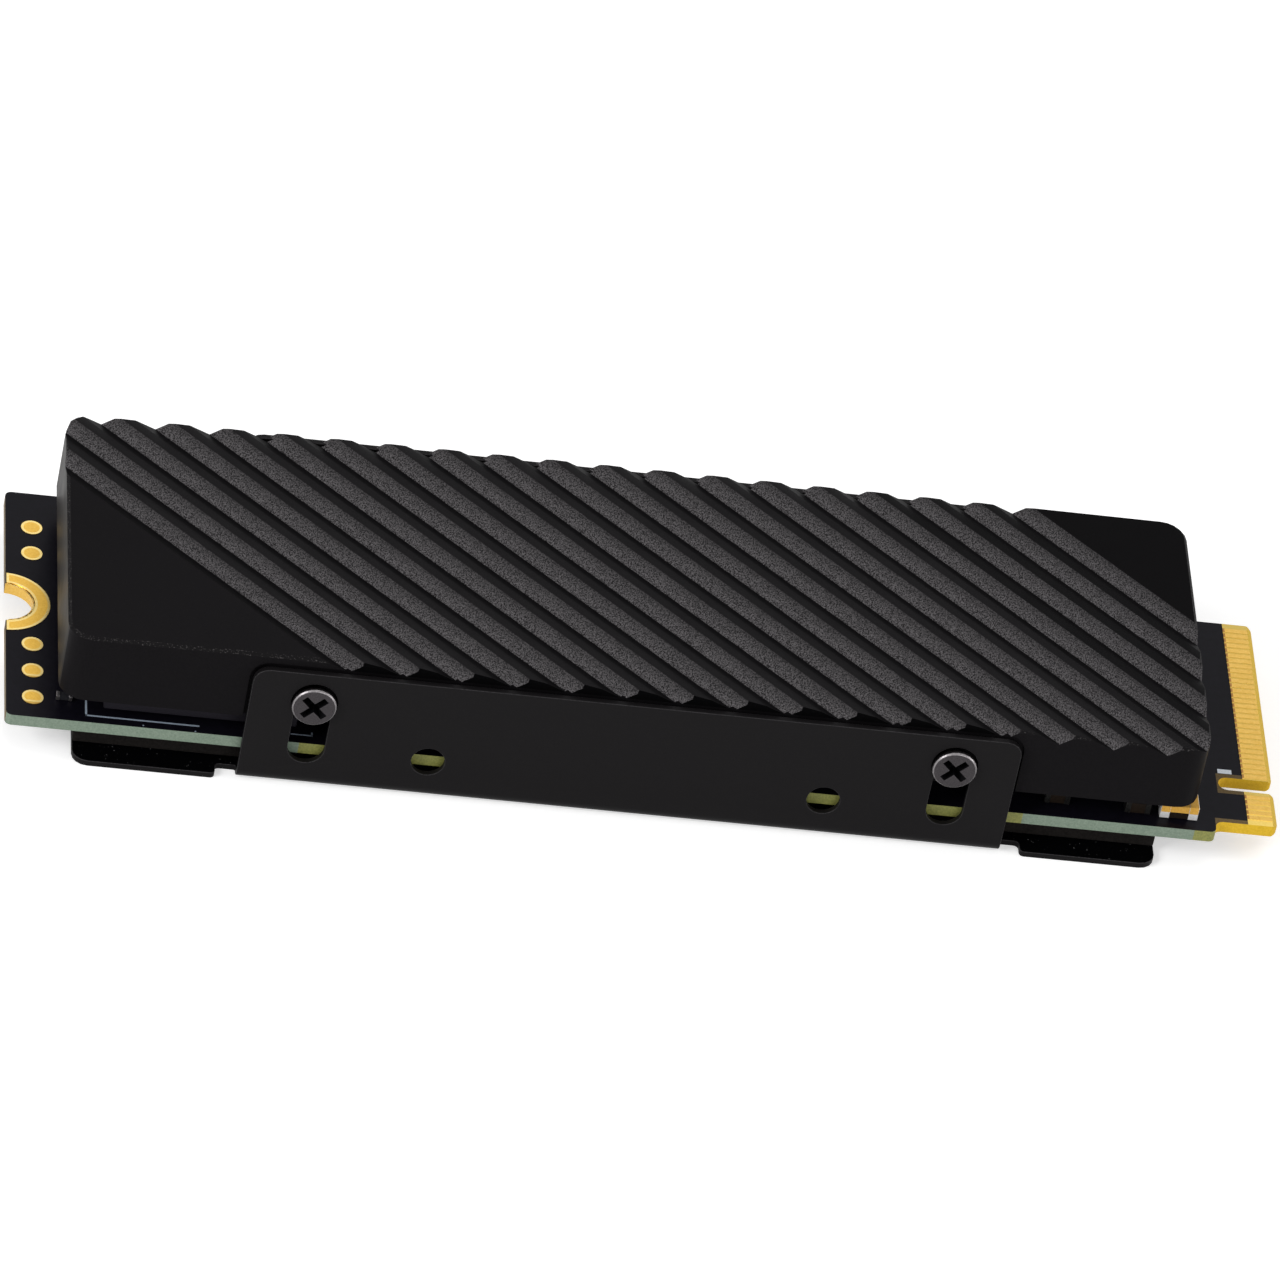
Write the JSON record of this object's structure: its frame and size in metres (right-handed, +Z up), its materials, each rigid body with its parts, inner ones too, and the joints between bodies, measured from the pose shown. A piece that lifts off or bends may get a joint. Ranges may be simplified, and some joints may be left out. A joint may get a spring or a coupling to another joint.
{
  "type": "gumstick solid state drive",
  "caption": "Gumstick solid state drive with an edge connector, under a black heatsink with diagonal grooves held by a folded steel bracket and side screws.",
  "frame": {"origin": "on the bracket's underside, below the middle of the circuit board", "axes": "+X from the screw notch to the contacts, +Y across the board away from the key slot's side, +Z up through the heatsink"},
  "size_m": [0.08, 0.0242, 0.0098],
  "materials": {
    "black_steel": "black, fine satin, folded sheet steel",
    "circuit_board": "black solder mask over glass laminate, gold contacts, mint green cut edges",
    "black_aluminium": "black anodised, satin tops and fine blasted groove walls",
    "black_mould": "matt black moulding compound",
    "nickel_lid": "plain nickel",
    "grey_ferrite": "dark grey ferrite",
    "grey_silicone": "soft grey silicone",
    "tan_mould": "tan moulding with tin ends",
    "screw_steel": "black oxide steel with a bright rim",
    "ceramic": "brown ceramic with tin ends",
    "resistor_film": "black film with tin ends"
  },
  "bodies": {
    "root": {"bracket": "black_steel", "circuit_board": "circuit_board", "heatsink": "black_aluminium", "controller": "black_mould", "dram_package": "black_mould", "memory_package_1": "black_mould", "memory_package_2": "black_mould", "power_chip": "black_mould", "crystal": "nickel_lid", "inductor_core": "grey_ferrite", "inductor_memory": "grey_ferrite", "inductor_input": "grey_ferrite", "lower_thermal_pad": "grey_silicone", "upper_thermal_pad": "grey_silicone", "polymer_capacitor": "tan_mould", "screw_near_left": "screw_steel", "screw_near_right": "screw_steel", "screw_far_left": "screw_steel", "screw_far_right": "screw_steel", "small_capacitor_1": "ceramic", "small_capacitor_2": "ceramic", "small_capacitor_3": "ceramic", "small_capacitor_4": "ceramic", "small_capacitor_5": "ceramic", "small_capacitor_6": "ceramic", "small_capacitor_7": "ceramic", "small_capacitor_8": "ceramic", "small_capacitor_9": "ceramic", "small_capacitor_10": "ceramic", "large_capacitor_1": "ceramic", "large_capacitor_2": "ceramic", "large_capacitor_3": "ceramic", "large_capacitor_4": "ceramic", "large_capacitor_5": "ceramic", "large_capacitor_6": "ceramic", "resistor_1": "resistor_film", "resistor_2": "resistor_film", "resistor_3": "resistor_film", "resistor_4": "resistor_film", "resistor_5": "resistor_film", "resistor_6": "resistor_film"}
  },
  "joints": []
}
